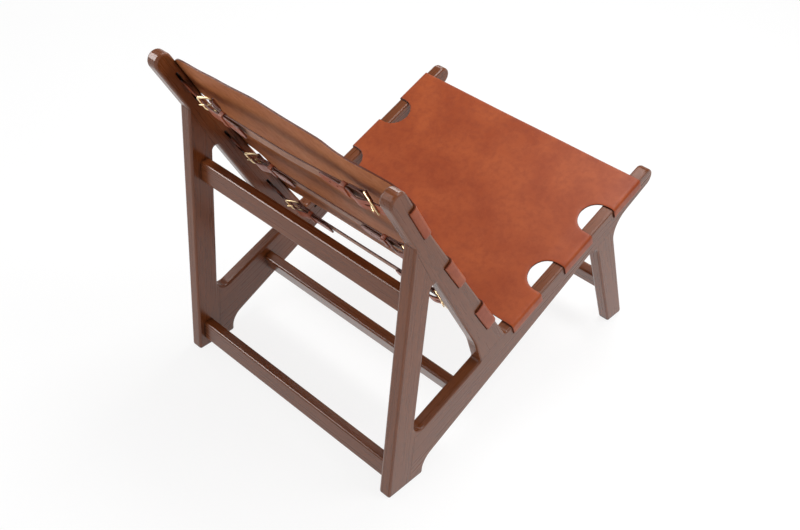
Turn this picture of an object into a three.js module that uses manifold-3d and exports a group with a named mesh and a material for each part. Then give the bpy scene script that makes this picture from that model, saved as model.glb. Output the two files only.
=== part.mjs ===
// Leather sling lounge chair: two wooden side frames joined by four cross pieces,
// with a saddle leather seat and back that wrap round the boards, pass through slots
// and are drawn tight by buckled belts behind and below.
// Millimetres, +Z up, the chair faces -Y, +X is the sitter's left.
// The origin is on the floor, below the middle of the chair.

import * as THREE from "three";
import { mergeVertices } from "three/addons/utils/BufferGeometryUtils.js";
import Module from "manifold-3d";

const wasm = await Module();
wasm.setup();

const degrees = THREE.MathUtils.degToRad;

// Driving dimensions of the side frame, seen from the side
const chairWidth = 584;
const boardThickness = 26;
const toeBeyondNose = 30;
const rearFootDepth = 93;
const rearLegLean = degrees(2.78);
const rearLegWidth = 51;
const kinkHeight = 582.8;
const backLean = degrees(30.1);
const backTaper = degrees(3.2);
const uprightLength = 115.4;
const uprightTopWidth = 37.2;
const backBendHeight = -10;
const seatPitch = degrees(22.05);
const railTaper = degrees(4.25);
const railTopAtFoot = 136.4;
const railUnderAtFoot = 33.9;
const frontFootDepth = 50.7;
const frontLegLean = degrees(21.6);
const frontLegTaper = degrees(1.4);

// Corner radii of the side frame's outline
const edgeRound = 4;
const footCornerRadius = 5;
const backBendRadius = 400;
const crotchRadius = 9;
const frontNookRadius = 50;
const rearNookRadius = 24;
const footNookRadius = 40;
const windowTopRadius = 8.5;
const windowToeRadius = 4;
const windowHeelRadius = 22;
const windowFlareRadius = 150;
const windowFlareLength = 66;
const windowFlareWidth = 11.5;

// Glue joints of the side frame, each with a hidden tongue
const glueGap = 0.3;
const jointStandoff = 5;
const kinkOverrun = 1;
const tongueDepth = 16;
const tongueThickness = 9;
const tongueLengthShare = 0.45;
const cutOverrun = 40;

// Cross pieces: one board section for all four, with a tenon at each end
const crossThickness = 22;
const crossHeight = 44;
const crossRound = 4;
const tenonThickness = 12;
const tenonHeight = 32;
const tenonLength = 14;
const tenonFit = 0.3;
const backRailHeight = 440.5;
const backRailSetback = 31.6;
const rearStretcherHeight = 46;
const rearStretcherSetback = 24.8;
const seatStretcherReach = 102;
const seatStretcherDepth = 44;
const frontStretcherHeight = 117;

// Leather sheets
const leather = 3;
const leatherGap = 0.35;
const foldRadius = 2.4;
const slotHeight = 5.4;
const slotEndRoom = 1;
const tabInside = 2;
const cutoutDepth = 51;
const seatTabWidth = 89;
const seatTabGap = 73.5;
const seatRearClear = 19;
const seatSlotDepth = 22.5;
const noseBeyondSling = 24;
const backTabWidth = 80;
const backTabGap = 106.5;
const backShoulder = 45;
const backBendPastTab = 10;
const backCornerWidth = 90;
const backCornerHeight = 44;
const backCutoutRound = 36;
const backSlotShares = [0.36, 0.37, 0.4];

// Belts that draw a sheet tight: tails, cross straps, buckles, prongs and keepers
const strapWidth = 29;
const strapThickness = 2.6;
const beltRoom = 0.35;
const beltBehindSheet = 8;
const beltSag = 8;
const buckleInset = 66;
const tailBeyondBuckle = 111;
const keeperFromBuckle = 54;
const tailSlack = 4;
const tailArch = 6;
const tailArchSteps = 6;
const foldLength = 34;
const foldNeck = 14;
const foldWrap = degrees(120);
const keeperWidth = 10;
const keeperLeather = 1.6;
const buckleInnerWidth = 31.5;
const buckleInnerLength = 24.5;
const buckleBar = 3.5;
const buckleSide = 5.6;
const buckleCorner = 7;
const prongWidth = 3;
const prongWall = 1.3;
const prongFit = 0.06;
const prongPast = 2;
const prongSlitRoom = 0.8;
const prongLift = degrees(10);
const prongHoleWidth = 5;
const prongHoleRoom = 1;

// How finely round things are cut
const chordError = 0.16;
const finestStep = degrees(7);
const coarsestStep = degrees(30);
const eyeSides = 10;
const prongSides = 6;

// Finishes seen in the photograph
const finishes = {
  walnut: { color: 0x6b4230, roughness: 0.42, metalness: 0 },
  saddleLeather: { color: 0xa5502c, roughness: 0.5, metalness: 0 },
  strapLeather: { color: 0x3b241b, roughness: 0.55, metalness: 0 },
  keeperLeather: { color: 0xb0552f, roughness: 0.5, metalness: 0 },
  brass: { color: 0xe0cf9f, roughness: 0.28, metalness: 1 },
};

// Flat vectors: in a side view x runs along world Y and y along world Z;
// in a section of a sheet x runs across the chair and y out of the wood
const vec = (x, y) => new THREE.Vector2(x, y);
const along = (point, direction, distance) => point.clone().addScaledVector(direction, distance);
const upLeaning = (angle) => vec(Math.sin(angle), Math.cos(angle));
const aheadRising = (angle) => vec(-Math.cos(angle), Math.sin(angle));
const quarterTurn = (direction) => vec(-direction.y, direction.x);
const level = vec(1, 0);

// Where two lines cross, each given by a point and a direction
function meet(p, d, q, e) {
  const determinant = d.x * e.y - d.y * e.x;
  return along(p, d, ((q.x - p.x) * e.y - (q.y - p.y) * e.x) / determinant);
}

// Points of an arc about a centre, cut so finely that the chords stay close to it
function arcPoints(centre, radius, from, to) {
  const fine = 2 * Math.acos(Math.max(1 - chordError / radius, 0));
  const step = THREE.MathUtils.clamp(fine, finestStep, coarsestStep);
  const count = Math.max(Math.ceil(Math.abs(to - from) / step), 2);
  return Array.from({ length: count + 1 }, (_, i) => {
    const angle = from + ((to - from) * i) / count;
    return vec(centre.x + radius * Math.cos(angle), centre.y + radius * Math.sin(angle));
  });
}

// One corner of an outline, rounded between its two neighbours
function roundCorner(before, { at, radius }, after) {
  const toBefore = before.clone().sub(at).normalize();
  const toAfter = after.clone().sub(at).normalize();
  const half = Math.acos(toBefore.dot(toAfter)) / 2;
  const inward = toBefore.clone().add(toAfter).normalize();
  const centre = along(at, inward, radius / Math.sin(half));
  const reach = radius / Math.tan(half);
  const start = along(at, toBefore, reach).sub(centre).angle();
  const end = along(at, toAfter, reach).sub(centre).angle();
  const turn = THREE.MathUtils.euclideanModulo(end - start + Math.PI, 2 * Math.PI) - Math.PI;
  return arcPoints(centre, radius, start, start + turn);
}

// A closed outline from corners, each with its radius, and from ready arcs
function roundedOutline(stops) {
  const ends = stops.map((stop) => stop.arc ?? [stop.at]);
  return stops.flatMap((stop, i) => {
    if (!stop.radius) return ends[i];
    const before = ends.at(i - 1).at(-1);
    const after = ends[(i + 1) % stops.length][0];
    return roundCorner(before, stop, after);
  });
}

function rectangle(centre, up, width, height) {
  const side = quarterTurn(up);
  const corner = (u, v) => along(along(centre, side, (u * width) / 2), up, (v * height) / 2);
  return [corner(1, -1), corner(-1, -1), corner(-1, 1), corner(1, 1)];
}

const rounded = (corners, radius) => roundedOutline(corners.map((at) => ({ at, radius })));

// A closed geometry becomes a solid that can be joined and cut
function solid(geometry) {
  geometry.deleteAttribute("normal");
  geometry.deleteAttribute("uv");
  const merged = mergeVertices(geometry);
  const vertProperties = new Float32Array(merged.attributes.position.array);
  const triVerts = new Uint32Array(merged.index.array);
  return new wasm.Manifold(new wasm.Mesh({ numProp: 3, vertProperties, triVerts }));
}

const block = (x, y, z) => new THREE.BoxGeometry(x, y, z);
const joined = (solids) => solids.reduce((sum, next) => sum.add(next));
const cutBy = (whole, cutters) => cutters.reduce((rest, cutter) => rest.subtract(cutter), whole);
const mirrored = (piece) => piece.mirror([1, 0, 0]);

function extruded(outline, holes, depth, round = 0) {
  const shape = new THREE.Shape(outline);
  shape.holes = holes.map((hole) => new THREE.Path(hole));
  const bevel = { bevelThickness: round, bevelSize: round, bevelOffset: -round };
  const settings = { depth: depth - 2 * round, bevelEnabled: round > 0, bevelSegments: 2, ...bevel };
  return new THREE.ExtrudeGeometry(shape, settings).translate(0, 0, round);
}

// A board cut to a side view, standing between two places across the chair
function board(outline, holes, from, to, round) {
  const geometry = extruded(outline, holes, to - from, round);
  return solid(geometry.translate(0, 0, from).rotateX(Math.PI / 2).rotateZ(Math.PI / 2));
}

// A section of a sheet or strap, drawn out along the board about a middle
function drawnOut(section, width, middle = 0) {
  const geometry = extruded(section, [], width).translate(0, 0, -width / 2);
  return solid(geometry.rotateX(Math.PI / 2).translate(0, middle, 0));
}

// An outline in the plane of a sheet, cut right through it
function throughSheet(outline) {
  return solid(extruded(outline, [], 2 * cutOverrun).translate(0, 0, -cutOverrun));
}

// Leather of even thickness about a path, as a section
function ribbon(path, thickness) {
  const side = (sign) =>
    path.map((point, i) => {
      const before = path[Math.max(i - 1, 0)];
      const after = path[Math.min(i + 1, path.length - 1)];
      const way = after.clone().sub(before).normalize();
      return along(point, quarterTurn(way), (sign * thickness) / 2);
    });
  return [...side(1), ...side(-1).reverse()];
}

const chair = new THREE.Group();

function addPiece(name, piece, finish, parent = chair) {
  const { vertProperties, triVerts } = piece.getMesh();
  const geometry = new THREE.BufferGeometry();
  geometry.setAttribute("position", new THREE.BufferAttribute(vertProperties, 3));
  geometry.setIndex(new THREE.BufferAttribute(triVerts, 1));
  const mesh = new THREE.Mesh(geometry, new THREE.MeshStandardMaterial(finishes[finish]));
  mesh.name = name;
  parent.add(mesh);
  return mesh;
}

// Lines of the side frame, each a point and a direction, from the heel of the rear foot
const halfWidth = chairWidth / 2;
const innerFace = halfWidth - boardThickness;
const boardMiddle = halfWidth - boardThickness / 2;
const heel = vec(0, 0);
const rearUp = upLeaning(-rearLegLean);
const legFront = along(heel, quarterTurn(rearUp), rearLegWidth);
const kink = meet(heel, rearUp, vec(0, kinkHeight), level);
const uprightUp = upLeaning(backLean);
const uprightAhead = quarterTurn(uprightUp);
const backAngle = backLean + backTaper;
const backUp = upLeaning(backAngle);
const knobRadius = uprightTopWidth / 2;
const knobCentre = along(along(kink, uprightUp, uprightLength), uprightAhead, knobRadius);
const bend = along(along(kink, uprightUp, backBendHeight), uprightAhead, uprightTopWidth);
const railAhead = aheadRising(seatPitch);
const railUp = upLeaning(seatPitch);
const railTop = vec(-rearFootDepth, railTopAtFoot);
const underPitch = seatPitch + railTaper;
const underAhead = aheadRising(underPitch);
const railUnder = vec(-rearFootDepth, railUnderAtFoot);
const toeFrontUp = upLeaning(frontLegLean);
const toeRearUp = upLeaning(frontLegLean + frontLegTaper);
const crotch = meet(bend, backUp, railTop, railAhead);

// Lengths of the two sheets, where each one starts on its board, and the nose just past the seat
const seatLength = 3 * seatTabWidth + 2 * seatTabGap;
const backLength = backShoulder + 3 * backTabWidth + 2 * backTabGap;
const seatStart = along(crotch, railAhead, seatRearClear);
const backBendPlace = backShoulder + backTabWidth + backBendPastTab;
const backStart = along(bend, backUp, backBendPlace);
const noseTop = along(seatStart, railAhead, seatLength + noseBeyondSling);

// The front leg stands under the nose, and the window lies between leg, upright and rail
const toeFront = vec(noseTop.x - toeBeyondNose, 0);
const toeRear = along(toeFront, level, frontFootDepth);
const frontNook = meet(toeFront, toeFrontUp, railUnder, underAhead);
const rearNook = meet(toeRear, toeRearUp, railUnder, underAhead);
const windowTop = meet(kink, uprightUp, legFront, rearUp);
const windowCorner = meet(kink, uprightUp, railTop, railAhead);
const windowToe = along(windowCorner, railAhead, -windowFlareWidth);
const windowHeel = meet(railTop, railAhead, legFront, rearUp);

// The upright ends in a round knob
function knobArc() {
  return arcPoints(knobCentre, knobRadius, -backLean, Math.PI - backLean);
}

// The rail ends in a round nose that touches its top and its underside
function noseArc() {
  const depth = noseTop.clone().sub(railUnder).dot(upLeaning(underPitch));
  const radius = depth / (1 + Math.cos(railTaper));
  const centre = along(noseTop, railUp, -radius);
  const straightUp = Math.PI / 2;
  return arcPoints(centre, radius, straightUp - seatPitch, 3 * straightUp - underPitch);
}

// The outline of a whole side frame, from the heel up the rear edge and round to the foot
function sideOutline() {
  return roundedOutline([
    { at: heel, radius: footCornerRadius },
    { at: kink },
    { arc: knobArc() },
    { at: bend, radius: backBendRadius },
    { at: crotch, radius: crotchRadius },
    { arc: noseArc() },
    { at: frontNook, radius: frontNookRadius },
    { at: toeFront, radius: footCornerRadius },
    { at: toeRear, radius: footCornerRadius },
    { at: rearNook, radius: rearNookRadius },
    { at: railUnder, radius: footNookRadius },
    { at: vec(-rearFootDepth, 0), radius: footCornerRadius },
  ]);
}

// The three-cornered window between rear leg, upright and seat rail
function windowOutline() {
  return roundedOutline([
    { at: windowTop, radius: windowTopRadius },
    { at: along(windowCorner, uprightUp, windowFlareLength), radius: windowFlareRadius },
    { at: windowToe, radius: windowToeRadius },
    { at: windowHeel, radius: windowHeelRadius },
  ]);
}

// Rows of tabs and belts: the middle of a tab on the wood, the depth of its slot below,
// the depth of its belt, and the turn that lays a sheet's own frame on the board
const barRadius = buckleBar / 2;
const foldOuter = barRadius + beltRoom + strapThickness;
const heelRise = leather / 2 + beltRoom + foldOuter;
const frontDrop = leather / 2 + beltRoom + barRadius;
const leastBeltDepth = heelRise + foldOuter + beltBehindSheet;

// Rows are counted from the back's top edge down, and from the seat's rear edge to its front;
// a belt hangs a little away from its slots, and at least clear of the sheet
function rowAt(start, direction, place, tab, turn, depthAt) {
  const point = along(start, direction, place);
  const slotDepth = depthAt(point);
  const beltDepth = Math.max(slotDepth + beltSag, leastBeltDepth);
  return { point, tab, turn, place, slotDepth, beltDepth };
}

const backRows = backSlotShares.map((share, i) => {
  const place = backShoulder + backTabWidth / 2 + i * (backTabWidth + backTabGap);
  const lean = place < backBendPlace ? backLean : backAngle;
  const up = upLeaning(lean);
  const start = along(bend, up, backBendPlace);
  const depthAt = (point) => share * point.distanceTo(meet(point, quarterTurn(up), kink, uprightUp));
  return rowAt(start, up.clone().negate(), place, backTabWidth, Math.PI / 2 - lean, depthAt);
});
const seatRows = [0, 1, 2].map((i) => {
  const place = seatTabWidth / 2 + i * (seatTabWidth + seatTabGap);
  return rowAt(seatStart, railAhead, place, seatTabWidth, -seatPitch, () => seatSlotDepth);
});
const allRows = [...backRows, ...seatRows];

// Slots through a side board for the tabs
function slotCutters() {
  return allRows.map((row) => {
    const slot = block(boardThickness + cutOverrun, row.tab + 2 * slotEndRoom, slotHeight);
    slot.translate(boardMiddle, 0, -row.slotDepth).rotateX(row.turn);
    return solid(slot.translate(0, row.point.x, row.point.y));
  });
}

// The four cross pieces: the middle of each section and how it leans
function behindLegRear(height, setback) {
  return along(meet(heel, rearUp, vec(0, height), level), level, -setback);
}

const legMiddle = along(toeFront, level, frontFootDepth / 2);
const crossPieces = {
  back_rail: { centre: behindLegRear(backRailHeight, backRailSetback), up: rearUp },
  rear_stretcher: { centre: behindLegRear(rearStretcherHeight, rearStretcherSetback), up: rearUp },
  seat_stretcher: {
    centre: along(along(railTop, railAhead, seatStretcherReach), railUp, -seatStretcherDepth),
    up: railUp,
  },
  front_stretcher: {
    centre: meet(legMiddle, railUp, vec(0, frontStretcherHeight), level),
    up: railUp,
  },
};

function mortiseCutter({ centre, up }) {
  const outline = rectangle(centre, up, tenonThickness + 2 * tenonFit, tenonHeight + 2 * tenonFit);
  return board(outline, [], innerFace - cutOverrun, innerFace + tenonLength + tenonFit);
}

function crossPiece({ centre, up }) {
  const outline = rounded(rectangle(centre, up, crossThickness, crossHeight), crossRound);
  const shoulder = innerFace - glueGap;
  const end = innerFace + tenonLength;
  const tenons = board(rectangle(centre, up, tenonThickness, tenonHeight), [], -end, end);
  return board(outline, [], -shoulder, shoulder).add(tenons);
}

// Glue joints of the side frame; they stand off the inner corners a little, so that no board
// ends in a feather edge, and each has a tongue into the board on the side it points to
const floorAlongLeg = meet(legFront, rearUp, heel, level);
const underDown = upLeaning(underPitch).negate();
const legAhead = quarterTurn(rearUp);
const standOff = (point, direction) => along(point, direction, jointStandoff);
const windowCrown = cornerCrown(windowTop, uprightUp, rearUp, windowTopRadius);
const glueJoints = [
  { from: windowCrown, to: kink, overrun: kinkOverrun },
  { from: standOff(windowToe, railUp), to: standOff(crotch, railUp), overrun: cutOverrun },
  {
    from: standOff(windowHeel, legAhead),
    to: standOff(floorAlongLeg, legAhead),
    overrun: cutOverrun,
  },
  {
    from: standOff(frontNook, underDown),
    to: standOff(rearNook, underDown),
    overrun: cutOverrun,
  },
];

// The crown of a corner's rounding, where two upward lines meet at the top of an opening
function cornerCrown(corner, up, otherUp, radius) {
  const half = Math.abs(up.angle() - otherUp.angle()) / 2;
  const down = up.clone().add(otherUp).normalize().negate();
  return along(corner, down, radius / Math.sin(half) - radius);
}

// The cut along a glue joint goes round its tongue and leaves that whole
function glueCutter(joint) {
  const { from, to, overrun } = joint;
  const way = to.clone().sub(from).normalize();
  const start = along(from, way, -cutOverrun);
  const end = along(to, way, overrun);
  const line = rectangle(start.clone().lerp(end, 1 / 2), way, glueGap, start.distanceTo(end));
  const cut = board(line, [], innerFace - cutOverrun, halfWidth + cutOverrun);
  const socket = tongueSpace(joint, 0, tongueDepth + glueGap, glueGap);
  return cut.add(socket).subtract(tongueSpace(joint, -glueGap, tongueDepth, 0));
}

function tongueSpace({ from, to }, near, far, room) {
  const way = to.clone().sub(from).normalize();
  const middle = along(from.clone().lerp(to, 1 / 2), quarterTurn(way), (near + far) / 2);
  const length = tongueLengthShare * from.distanceTo(to) + 2 * room;
  const half = tongueThickness / 2 + room;
  return board(rectangle(middle, way, far - near, length), [], boardMiddle - half, boardMiddle + half);
}

// The side frame is shaped, rounded and slotted as one, and parted along its glue joints;
// the pieces follow one another from the highest to the lowest
function sidePieces() {
  const whole = board(sideOutline(), [windowOutline()], innerFace, halfWidth, edgeRound);
  const mortises = Object.values(crossPieces).map(mortiseCutter);
  const cutters = [...slotCutters(), ...mortises, ...glueJoints.map(glueCutter)];
  const parts = cutBy(whole, cutters).decompose();
  parts.sort((a, b) => b.boundingBox().max[2] - a.boundingBox().max[2]);
  const names = ["back_upright", "rear_leg", "seat_rail", "front_leg"];
  return names.map((name, i) => ({ name, piece: parts[i] }));
}

// Belt sizes along the chair: where a buckle sits and how far its prong reaches
const buckleReach = buckleInnerLength + buckleBar;
const buckleTilt = Math.asin((heelRise + frontDrop) / buckleReach);
const heelBack = (buckleReach * Math.cos(buckleTilt)) / 2;
const prongOverBar = Math.asin((barRadius + prongWidth / 2 + beltRoom) / buckleReach);
const prongReach = buckleReach + barRadius + prongPast;
const tailAtKeeper = heelRise - strapThickness - beltRoom - leather / 2 - tailSlack;
const buckle = innerFace - buckleInset;
const heelBarPlace = buckle - heelBack;
const keeperPlace = buckle - keeperFromBuckle;

// Section of a tab: over the rounded edge, down the outer face and into the slot
function tabSection(row) {
  const middle = leatherGap + leather / 2;
  const edge = vec(halfWidth - edgeRound, -edgeRound);
  const fold = vec(halfWidth + middle - foldRadius, foldRadius - row.slotDepth);
  const path = [
    vec(innerFace, middle),
    ...arcPoints(edge, edgeRound + middle, Math.PI / 2, 0),
    ...arcPoints(fold, foldRadius, 0, -Math.PI / 2),
    vec(innerFace + tabInside, -row.slotDepth),
  ];
  return ribbon(path, leather);
}

// Section of a tail: out of the slot, straight through the buckle, in an arch to the keeper
// and on to its tip
function tailSection(row) {
  const keeperAt = vec(keeperPlace + keeperWidth, tailAtKeeper - row.beltDepth);
  const heelBar = vec(heelBarPlace, -row.beltDepth);
  const arch = Array.from({ length: tailArchSteps - 1 }, (_, i) => {
    const share = (i + 1) / tailArchSteps;
    const bulge = vec(0, -tailArch * Math.sin(Math.PI * share) ** 2);
    return heelBar.clone().lerp(keeperAt, share).add(bulge);
  });
  const path = [
    vec(boardMiddle + foldRadius, -row.slotDepth),
    vec(innerFace, -row.slotDepth),
    vec(buckle + heelBack + buckleBar, -row.beltDepth),
    heelBar,
    ...arch,
    keeperAt,
    vec(buckle - tailBeyondBuckle, keeperAt.y),
  ];
  return ribbon(path, leather);
}

// The oblong hole in a tail that the prong passes through at every angle it can take
function prongHole(row) {
  const rest = buckleTilt + prongOverBar;
  const slack = prongWidth / 2 / Math.sin(rest) + prongHoleRoom;
  const near = (heelRise - leather / 2) / Math.tan(rest + prongLift) - slack;
  const far = (heelRise + leather / 2) / Math.tan(rest) + slack;
  const hole = block(far - near, prongHoleWidth, leather + cutOverrun / 2);
  return solid(hole.translate(heelBarPlace + (near + far) / 2, 0, -row.beltDepth));
}

function tailSolid(row, middle) {
  const tail = drawnOut(tailSection(row), strapWidth);
  return tail.subtract(prongHole(row)).translate([0, middle, 0]);
}

// A sheet with all its tabs and tails, in its own frame: x across, y along the board, z out
function sling(length, rows, cutters) {
  const flat = block(chairWidth - 2 * edgeRound, length, leather);
  const sheet = solid(flat.translate(0, -length / 2, leatherGap + leather / 2));
  const tabs = rows.flatMap((row) => {
    const tab = drawnOut(tabSection(row), row.tab, -row.place).add(tailSolid(row, -row.place));
    return [tab, mirrored(tab)];
  });
  return cutBy(joined([sheet, ...tabs]), [...cutters, ...cutters.map(mirrored)]);
}

// Above its bend the back's sheet follows the steeper part of the upright
function bent(sheet) {
  const [above, below] = sheet.splitByPlane([0, 1, 0], -backBendPlace);
  const hinged = above.translate([0, backBendPlace, 0]);
  const turned = hinged.rotate([THREE.MathUtils.radToDeg(backTaper), 0, 0]);
  return below.add(turned.translate([0, -backBendPlace, 0]));
}

// A rounded notch between two tabs, open to the outside
function notch(width, round, middle) {
  const deep = halfWidth - cutoutDepth;
  const far = halfWidth + cutOverrun;
  const outline = roundedOutline([
    { at: vec(far, middle - width / 2) },
    { at: vec(far, middle + width / 2) },
    { at: vec(deep, middle + width / 2), radius: round },
    { at: vec(deep, middle - width / 2), radius: round },
  ]);
  return throughSheet(outline);
}

// The back's upper corner is rounded off in a quarter of an ellipse
function cornerCutter() {
  const edge = halfWidth - edgeRound;
  const centre = vec(edge - backCornerWidth, -backCornerHeight);
  const corner = vec(edge + cutOverrun, cutOverrun);
  const quarter = arcPoints(centre, backCornerWidth, Math.PI / 2, 0);
  const flatter = backCornerHeight / backCornerWidth;
  return throughSheet([
    ...quarter.map((point) => vec(point.x, centre.y + (point.y - centre.y) * flatter)),
    vec(corner.x, centre.y),
    corner,
    vec(centre.x, corner.y),
  ]);
}

function notches(rows, width, round) {
  return [0, 1].map((i) => {
    const middle = (rows[i].place + rows[i + 1].place) / 2;
    return notch(width, round, -middle);
  });
}

// A cross strap runs below the tails, each end folded back round the heel bar of a buckle
function crossStrap(row) {
  const height = heelRise - row.beltDepth;
  const middle = vec(0, height - strapThickness / 2);
  const band = rectangle(middle, vec(0, 1), 2 * heelBarPlace, strapThickness);
  const { fold, room } = strapFold(vec(heelBarPlace, height));
  const folded = joined([drawnOut(band, strapWidth), fold, mirrored(fold)]);
  return cutBy(folded, [room, mirrored(room)]);
}

function strapFold(bar) {
  const inward = bar.x - foldLength;
  const neck = bar.x - foldNeck;
  const section = [
    vec(inward, bar.y - strapThickness),
    vec(neck, bar.y - strapThickness),
    ...arcPoints(bar, foldOuter, -foldWrap, foldWrap),
    vec(neck, bar.y + strapThickness),
    vec(inward, bar.y + strapThickness),
  ];
  const eye = drawnOut(arcPoints(bar, barRadius + beltRoom, 0, 2 * Math.PI).slice(1), 2 * strapWidth);
  const slit = block(2 * foldNeck, prongWidth + 2 * prongSlitRoom, 2 * foldNeck);
  const slitSolid = solid(slit.translate(bar.x + foldNeck - foldOuter, 0, bar.y));
  return { fold: drawnOut(section, strapWidth), room: eye.add(slitSolid) };
}

// A keeper is a closed band of thin leather round the cross strap and the tail
function keeper(row, x) {
  const low = tailAtKeeper - leather / 2 - beltRoom;
  const high = heelRise + beltRoom;
  const width = strapWidth + 2 * beltRoom;
  const inner = block(2 * keeperWidth, width, high - low);
  const outer = block(keeperWidth, width + 2 * keeperLeather, high - low + 2 * keeperLeather);
  const band = solid(outer).subtract(solid(inner));
  return band.translate([x, 0, (low + high) / 2 - row.beltDepth]);
}

// A buckle frame lies flat about its own middle, heel bar at -x; its bars are eight-sided
function buckleFrame() {
  const bevel = (buckleBar * (1 - Math.tan(Math.PI / 8))) / 2;
  const up = vec(0, 1);
  const middle = vec(0, 0);
  const outer = vec(buckleInnerLength + 2 * buckleBar, buckleInnerWidth + 2 * buckleSide);
  const outline = rounded(rectangle(middle, up, outer.x, outer.y), buckleCorner);
  const opening = rectangle(middle, up, buckleInnerLength, buckleInnerWidth);
  const shape = new THREE.Shape(outline);
  shape.holes = [new THREE.Path(rounded(opening, bevel))];
  const bevels = { bevelThickness: bevel, bevelSize: bevel, bevelOffset: -bevel, bevelSegments: 1 };
  const geometry = new THREE.ExtrudeGeometry(shape, { depth: buckleBar - 2 * bevel, ...bevels });
  return solid(geometry.translate(0, 0, bevel - barRadius));
}

// A prong is an eye round the heel bar, here the origin, with a pin that rests on the front bar
function prong() {
  const bore = barRadius / Math.cos(Math.PI / 8) + prongFit;
  const cornerOf = (radius) => radius / Math.cos(Math.PI / eyeSides);
  const ring = (radius, width) =>
    solid(new THREE.CylinderGeometry(cornerOf(radius), cornerOf(radius), width, eyeSides));
  const start = bore + prongWall / 2;
  const radius = prongWidth / 2;
  const pin = new THREE.CylinderGeometry(radius, radius, prongReach - start, prongSides);
  pin.rotateZ(Math.PI / 2).translate((start + prongReach) / 2, 0, 0).rotateY(prongOverBar);
  const body = ring(bore + prongWall, prongWidth).add(solid(pin));
  return body.subtract(ring(bore, 2 * prongWidth));
}

// The belt of one row, built in a group that lies on the board
function addBelt(sheet, number, row, parent) {
  const belt = new THREE.Group();
  belt.position.set(0, row.point.x, row.point.y);
  belt.rotation.x = row.turn;
  parent.add(belt);
  addPiece(`${sheet}_strap_${number}`, crossStrap(row), "strapLeather", belt);
  const sides = [
    { side: "left", sign: 1 },
    { side: "right", sign: -1 },
  ];
  sides.forEach(({ side, sign }) => {
    const loop = keeper(row, sign * keeperPlace);
    addPiece(`${sheet}_keeper_${number}_${side}`, loop, "keeperLeather", belt);
    const holder = new THREE.Group();
    holder.position.set(sign * buckle, 0, (heelRise - frontDrop) / 2 - row.beltDepth);
    holder.rotation.z = sign > 0 ? 0 : Math.PI;
    const tilted = new THREE.Group();
    tilted.rotation.y = buckleTilt;
    holder.add(tilted);
    belt.add(holder);
    addPiece(`${sheet}_buckle_${number}_${side}`, buckleFrame(), "brass", tilted);
    const pin = addPiece(`${sheet}_prong_${number}_${side}`, prong(), "brass", tilted);
    pin.position.x = -buckleReach / 2;
  });
}

function addSling(name, start, turn, piece, parent) {
  const mesh = addPiece(name, piece, "saddleLeather", parent);
  mesh.position.set(0, start.x, start.y);
  mesh.rotation.x = turn;
}

// The whole chair, built with the heel of its rear feet at the origin
const placed = new THREE.Group();
chair.add(placed);

sidePieces().forEach(({ name, piece }) => {
  addPiece(`left_${name}`, piece, "walnut", placed);
  addPiece(`right_${name}`, mirrored(piece), "walnut", placed);
});
for (const [name, sizes] of Object.entries(crossPieces)) {
  addPiece(name, crossPiece(sizes), "walnut", placed);
}

const backCutters = [...notches(backRows, backTabGap, backCutoutRound), cornerCutter()];
const seatCutters = notches(seatRows, seatTabGap, seatTabGap / 2);
const backSheet = bent(sling(backLength, backRows, backCutters));
const seatSheet = sling(seatLength, seatRows, seatCutters);
addSling("back_sling", backStart, Math.PI / 2 - backAngle, backSheet, placed);
addSling("seat_sling", seatStart, -seatPitch, seatSheet, placed);

backRows.forEach((row, i) => addBelt("back", i + 1, row, placed));
seatRows.forEach((row, i) => addBelt("seat", i + 1, row, placed));

// The middle of the chair comes over the origin
const bounds = new THREE.Box3().setFromObject(placed, true);
placed.position.y = -(bounds.min.y + bounds.max.y) / 2;

export default chair;
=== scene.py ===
# %% [markdown]
# # A leather sling lounge chair, dressed
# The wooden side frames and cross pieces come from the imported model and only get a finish.
# All leather and brass is made again here with more detail, in the places the model gives.
# Lengths are written in millimetres, because that is how the chair was drawn, and are turned
# into Blender's metres when a mesh is made.

# %% The frame
import math

import bmesh
import bpy
import numpy as np
from mathutils import Matrix, Vector


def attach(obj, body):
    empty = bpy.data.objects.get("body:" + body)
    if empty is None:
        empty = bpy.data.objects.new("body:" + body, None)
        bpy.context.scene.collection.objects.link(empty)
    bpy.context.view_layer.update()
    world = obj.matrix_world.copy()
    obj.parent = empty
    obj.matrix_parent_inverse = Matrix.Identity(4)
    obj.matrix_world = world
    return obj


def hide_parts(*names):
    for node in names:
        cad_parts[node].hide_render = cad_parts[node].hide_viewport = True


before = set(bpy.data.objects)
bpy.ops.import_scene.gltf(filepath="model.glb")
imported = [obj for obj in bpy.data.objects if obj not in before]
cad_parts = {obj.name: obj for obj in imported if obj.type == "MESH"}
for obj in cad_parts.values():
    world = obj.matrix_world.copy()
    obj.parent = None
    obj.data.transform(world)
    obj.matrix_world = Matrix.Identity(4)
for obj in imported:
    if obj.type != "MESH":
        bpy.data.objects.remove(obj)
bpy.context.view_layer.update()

# %% [markdown]
# ## The camera
# The photograph looks down at the chair from behind its right side. Three angles and a place
# give that view. The lens follows from the picture's width and from the fitted distance
# between eye and picture, both in pixels, on a sensor 36 mm wide.

# %% Camera
AZIMUTH, ELEVATION, ROLL = math.radians(221.44), math.radians(39.55), 0.056
EYE = (-1.1322, 1.3212, 1.6213)
SENSOR = 36
PICTURE_WIDTH, PICTURE_DISTANCE = 800, 1077.6
LENS = PICTURE_DISTANCE / PICTURE_WIDTH * SENSOR


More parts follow.
